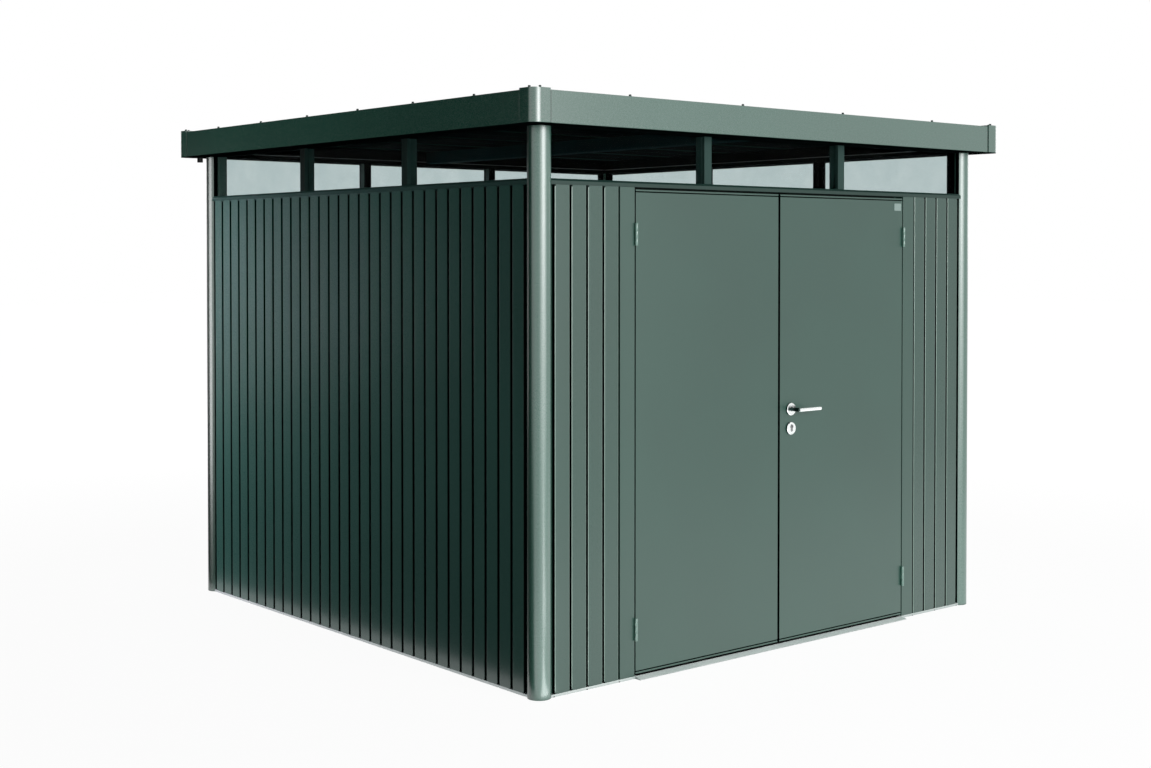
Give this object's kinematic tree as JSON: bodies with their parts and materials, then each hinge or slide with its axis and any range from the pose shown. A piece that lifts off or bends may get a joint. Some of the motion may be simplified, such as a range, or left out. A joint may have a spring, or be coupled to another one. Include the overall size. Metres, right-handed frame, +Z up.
{
  "type": "metal storage shed",
  "caption": "Square flat-roofed metal garden shed with beaded wall panels, round corner posts, a glazed band under the roof and an outward-opening double door with a lever handle.",
  "frame": {"origin": "on the ground at the centre of the plan", "axes": "+X along the door front to the right as seen from outside, +Y to the rear so the doors face -Y, +Z up"},
  "size_m": [2.75, 2.75, 2.216],
  "materials": {
    "wall_paint": "semi-gloss metallic dark green coating on folded steel sheet",
    "door_paint": "semi-gloss metallic dark green coating",
    "trim_paint": "semi-gloss metallic dark green coating",
    "post_paint": "glossy metallic dark green coating on extruded posts",
    "fascia_paint": "semi-gloss metallic dark green coating",
    "roof_frame": "dark primed steel",
    "bare_aluminium": "mill finish",
    "hinge_steel": "satin stainless",
    "handle_steel": "satin stainless",
    "cylinder_metal": "nickel plated",
    "glazing": "clear acrylic pane",
    "black_plastic": "moulded black"
  },
  "bodies": {
    "shed": {"front_wall_left": "wall_paint", "front_wall_right": "wall_paint", "left_wall": "wall_paint", "right_wall": "wall_paint", "rear_wall": "wall_paint", "base_rail_front": "bare_aluminium", "base_rail_left": "bare_aluminium", "base_rail_right": "bare_aluminium", "base_rail_rear": "bare_aluminium", "door_sill": "bare_aluminium", "corner_post_front_left": "post_paint", "corner_post_front_right": "post_paint", "corner_post_rear_left": "post_paint", "corner_post_rear_right": "post_paint", "top_rail_front": "trim_paint", "top_rail_left": "trim_paint", "top_rail_right": "trim_paint", "top_rail_rear": "trim_paint", "window_mullions": "trim_paint", "door_jambs": "door_paint", "door_head": "door_paint", "frame_hinges": "hinge_steel", "glass_front": "glazing", "glass_left": "glazing", "glass_right": "glazing", "glass_rear": "glazing", "head_beam_front": "roof_frame", "head_beam_left": "roof_frame", "head_beam_right": "roof_frame", "head_beam_rear": "roof_frame", "roof_purlin": "roof_frame", "roof_deck": "roof_frame", "fascia_front": "fascia_paint", "fascia_left": "fascia_paint", "fascia_right": "fascia_paint", "fascia_rear": "fascia_paint", "roof_corner_caps": "fascia_paint", "drain_spigots": "black_plastic"},
    "left_door": {"left_door_leaf": "door_paint", "left_door_hinges": "hinge_steel"},
    "right_door": {"right_door_leaf": "door_paint", "right_door_hinges": "hinge_steel", "handle_roses": "handle_steel", "lock_cylinder": "cylinder_metal"},
    "lever": {"lever_handle": "handle_steel"}
  },
  "joints": [
    {"name": "left_door_hinge", "type": "hinge", "parent": "shed", "child": "left_door", "pos_m": [-0.8, -1.283, 0], "axis": [0, 0, -1], "range_deg": [0, 110]},
    {"name": "right_door_hinge", "type": "hinge", "parent": "shed", "child": "right_door", "pos_m": [0.8, -1.283, 0], "axis": [0, 0, 1], "range_deg": [0, 110]},
    {"name": "lever_turn", "type": "hinge", "parent": "right_door", "child": "lever", "pos_m": [0.07, -1.276, 0.98], "axis": [0, 1, 0], "range_deg": [0, 40], "stiffness_Nm_per_rad": 1.5, "springref_deg": -28.65}
  ]
}
